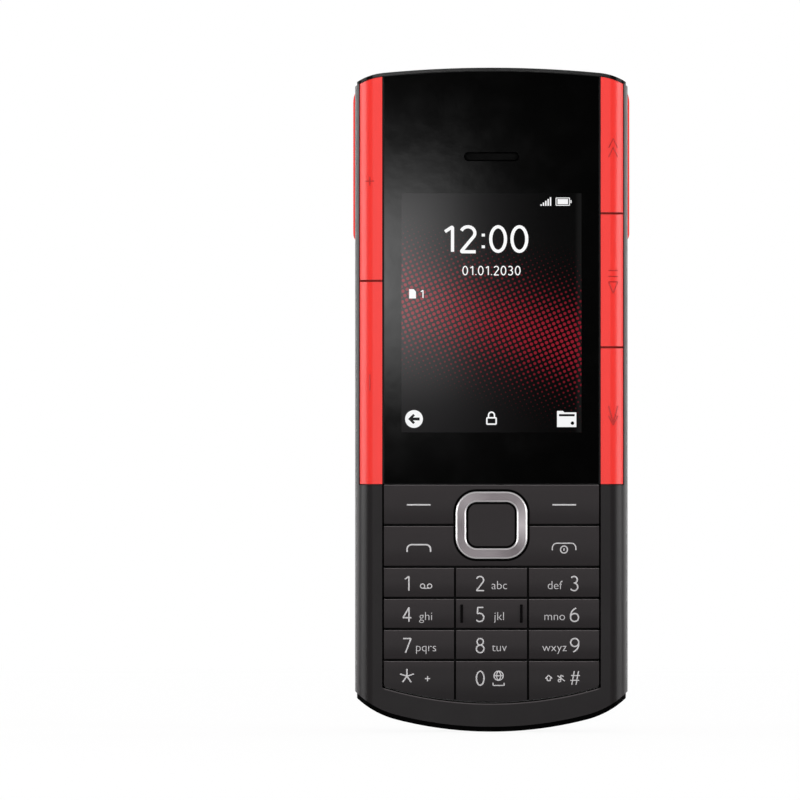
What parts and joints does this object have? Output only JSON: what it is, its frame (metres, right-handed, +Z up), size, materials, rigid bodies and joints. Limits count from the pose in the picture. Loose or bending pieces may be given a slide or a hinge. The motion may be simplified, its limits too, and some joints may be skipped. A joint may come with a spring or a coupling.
{
  "type": "slider phone",
  "caption": "Slim keypad phone with a red rear cover that slides down to uncover wireless earbuds, red side keys and a small upright display.",
  "frame": {"origin": "under the middle of the lowest edge, halfway through the depth", "axes": "+Z up the length towards the earpiece, front facing -Y, +X to the right as seen from the front, +Y out of the sliding rear cover"},
  "size_m": [0.0566, 0.0145, 0.1358],
  "materials": {
    "charcoal_satin": "satin moulded plastic",
    "key_plastic": "satin keycaps",
    "gloss_black": "polished black",
    "window_glass": "black printed hard glass",
    "camera_glass": "black glass",
    "red_gloss": "semi-gloss red paint",
    "slider_red": "semi-gloss red paint",
    "cover_matte": "fine matte",
    "ring_metal": "brushed plated plastic",
    "lens_glass": "coated lens",
    "flash_diffuser": "milky lens",
    "mesh_steel": "black painted mesh",
    "tray_black": "fine matte",
    "bud_black": "soft sheen",
    "silicone": "soft silicone",
    "gold": "gold plated",
    "steel": "plain steel",
    "board_green": "solder mask",
    "flex_amber": "polyimide film",
    "lcd": "display module",
    "battery_wrap": "printed film over metal",
    "socket_plastic": "black nylon",
    "speaker_plastic": "black nylon"
  },
  "bodies": {
    "handset": {"front_frame": "charcoal_satin", "display_window": "window_glass", "lcd_panel": "lcd", "earpiece": "speaker_plastic", "earpiece_mesh": "mesh_steel", "keymat": "silicone", "dome_sheet": "steel", "main_board": "board_green", "shield_cans": "steel", "sim_holder": "steel", "side_key_flex": "flex_amber", "top_cap": "gloss_black", "bottom_cap": "gloss_black", "rear_frame": "red_gloss", "back_cover": "cover_matte", "camera_bezel": "charcoal_satin", "camera_window": "camera_glass", "camera_module": "lens_glass", "flash_lens": "flash_diffuser", "speaker_meshes": "mesh_steel", "loudspeakers": "speaker_plastic", "earbud_tray": "tray_black", "earbud_left": "bud_black", "earbud_right": "bud_black", "eartips": "silicone", "charging_pins": "gold", "battery": "battery_wrap", "battery_contacts": "gold", "usb_socket": "steel", "audio_jack": "socket_plastic", "vibration_motor": "steel", "microphone": "steel", "frame_screws": "steel"},
    "slider": {"slider_cover": "slider_red", "slider_runners": "socket_plastic"},
    "nav_rocker": {"nav_plate": "silicone"},
    "nav_ring": {"nav_ring": "ring_metal"},
    "key_1": {"key_1": "key_plastic"},
    "key_2": {"key_2": "key_plastic"},
    "key_3": {"key_3": "key_plastic"},
    "key_4": {"key_4": "key_plastic"},
    "key_5": {"key_5": "key_plastic"},
    "key_6": {"key_6": "key_plastic"},
    "key_7": {"key_7": "key_plastic"},
    "key_8": {"key_8": "key_plastic"},
    "key_9": {"key_9": "key_plastic"},
    "key_star": {"key_star": "key_plastic"},
    "key_0": {"key_0": "key_plastic"},
    "key_hash": {"key_hash": "key_plastic"},
    "select_key": {"select_key": "key_plastic"},
    "soft_key_bar": {"soft_key_bar": "key_plastic"},
    "call_key_bar": {"call_key_bar": "key_plastic"},
    "volume_up_key": {"volume_up_key": "red_gloss"},
    "volume_down_key": {"volume_down_key": "red_gloss"},
    "previous_key": {"previous_key": "red_gloss"},
    "play_key": {"play_key": "red_gloss"},
    "next_key": {"next_key": "red_gloss"}
  },
  "joints": [
    {"name": "slider_slide", "type": "slide", "parent": "handset", "child": "slider", "axis": [0, 0, -1], "range_m": [0, 0.033]},
    {"name": "key_1_press", "type": "slide", "parent": "handset", "child": "key_1", "axis": [0, 1, 0], "range_m": [0, 0.0003], "stiffness_N_per_m": 200},
    {"name": "key_2_press", "type": "slide", "parent": "handset", "child": "key_2", "axis": [0, 1, 0], "range_m": [0, 0.0003], "stiffness_N_per_m": 200},
    {"name": "key_3_press", "type": "slide", "parent": "handset", "child": "key_3", "axis": [0, 1, 0], "range_m": [0, 0.0003], "stiffness_N_per_m": 200},
    {"name": "key_4_press", "type": "slide", "parent": "handset", "child": "key_4", "axis": [0, 1, 0], "range_m": [0, 0.0003], "stiffness_N_per_m": 200},
    {"name": "key_5_press", "type": "slide", "parent": "handset", "child": "key_5", "axis": [0, 1, 0], "range_m": [0, 0.0003], "stiffness_N_per_m": 200},
    {"name": "key_6_press", "type": "slide", "parent": "handset", "child": "key_6", "axis": [0, 1, 0], "range_m": [0, 0.0003], "stiffness_N_per_m": 200},
    {"name": "key_7_press", "type": "slide", "parent": "handset", "child": "key_7", "axis": [0, 1, 0], "range_m": [0, 0.0003], "stiffness_N_per_m": 200},
    {"name": "key_8_press", "type": "slide", "parent": "handset", "child": "key_8", "axis": [0, 1, 0], "range_m": [0, 0.0003], "stiffness_N_per_m": 200},
    {"name": "key_9_press", "type": "slide", "parent": "handset", "child": "key_9", "axis": [0, 1, 0], "range_m": [0, 0.0003], "stiffness_N_per_m": 200},
    {"name": "key_star_press", "type": "slide", "parent": "handset", "child": "key_star", "axis": [0, 1, 0], "range_m": [0, 0.0003], "stiffness_N_per_m": 200},
    {"name": "key_0_press", "type": "slide", "parent": "handset", "child": "key_0", "axis": [0, 1, 0], "range_m": [0, 0.0003], "stiffness_N_per_m": 200},
    {"name": "key_hash_press", "type": "slide", "parent": "handset", "child": "key_hash", "axis": [0, 1, 0], "range_m": [0, 0.0003], "stiffness_N_per_m": 200},
    {"name": "select_key_press", "type": "slide", "parent": "handset", "child": "select_key", "axis": [0, 1, 0], "range_m": [0, 0.0003], "stiffness_N_per_m": 200},
    {"name": "volume_up_key_press", "type": "slide", "parent": "handset", "child": "volume_up_key", "axis": [0.7071, 0.7071, 0], "range_m": [0, 0.0003], "stiffness_N_per_m": 200},
    {"name": "volume_down_key_press", "type": "slide", "parent": "handset", "child": "volume_down_key", "axis": [0.7071, 0.7071, 0], "range_m": [0, 0.0003], "stiffness_N_per_m": 200},
    {"name": "previous_key_press", "type": "slide", "parent": "handset", "child": "previous_key", "axis": [-0.7071, 0.7071, 0], "range_m": [0, 0.0003], "stiffness_N_per_m": 200},
    {"name": "play_key_press", "type": "slide", "parent": "handset", "child": "play_key", "axis": [-0.7071, 0.7071, 0], "range_m": [0, 0.0003], "stiffness_N_per_m": 200},
    {"name": "next_key_press", "type": "slide", "parent": "handset", "child": "next_key", "axis": [-0.7071, 0.7071, 0], "range_m": [0, 0.0003], "stiffness_N_per_m": 200},
    {"name": "soft_key_rock", "type": "hinge", "parent": "handset", "child": "soft_key_bar", "pos_m": [0, -0.0062, 0.0464], "axis": [0, 0, 1], "range_deg": [-0.75, 0.75], "stiffness_Nm_per_rad": 0.1},
    {"name": "call_key_rock", "type": "hinge", "parent": "handset", "child": "call_key_bar", "pos_m": [0, -0.0062, 0.0379], "axis": [0, 0, 1], "range_deg": [-0.75, 0.75], "stiffness_Nm_per_rad": 0.1},
    {"name": "nav_up_down", "type": "hinge", "parent": "handset", "child": "nav_rocker", "pos_m": [0, -0.00562, 0.04224], "axis": [1, 0, 0], "range_deg": [-2, 2], "stiffness_Nm_per_rad": 0.02},
    {"name": "nav_left_right", "type": "hinge", "parent": "nav_rocker", "child": "nav_ring", "pos_m": [0, -0.00562, 0.04224], "axis": [0, 0, 1], "range_deg": [-2, 2], "stiffness_Nm_per_rad": 0.02}
  ]
}
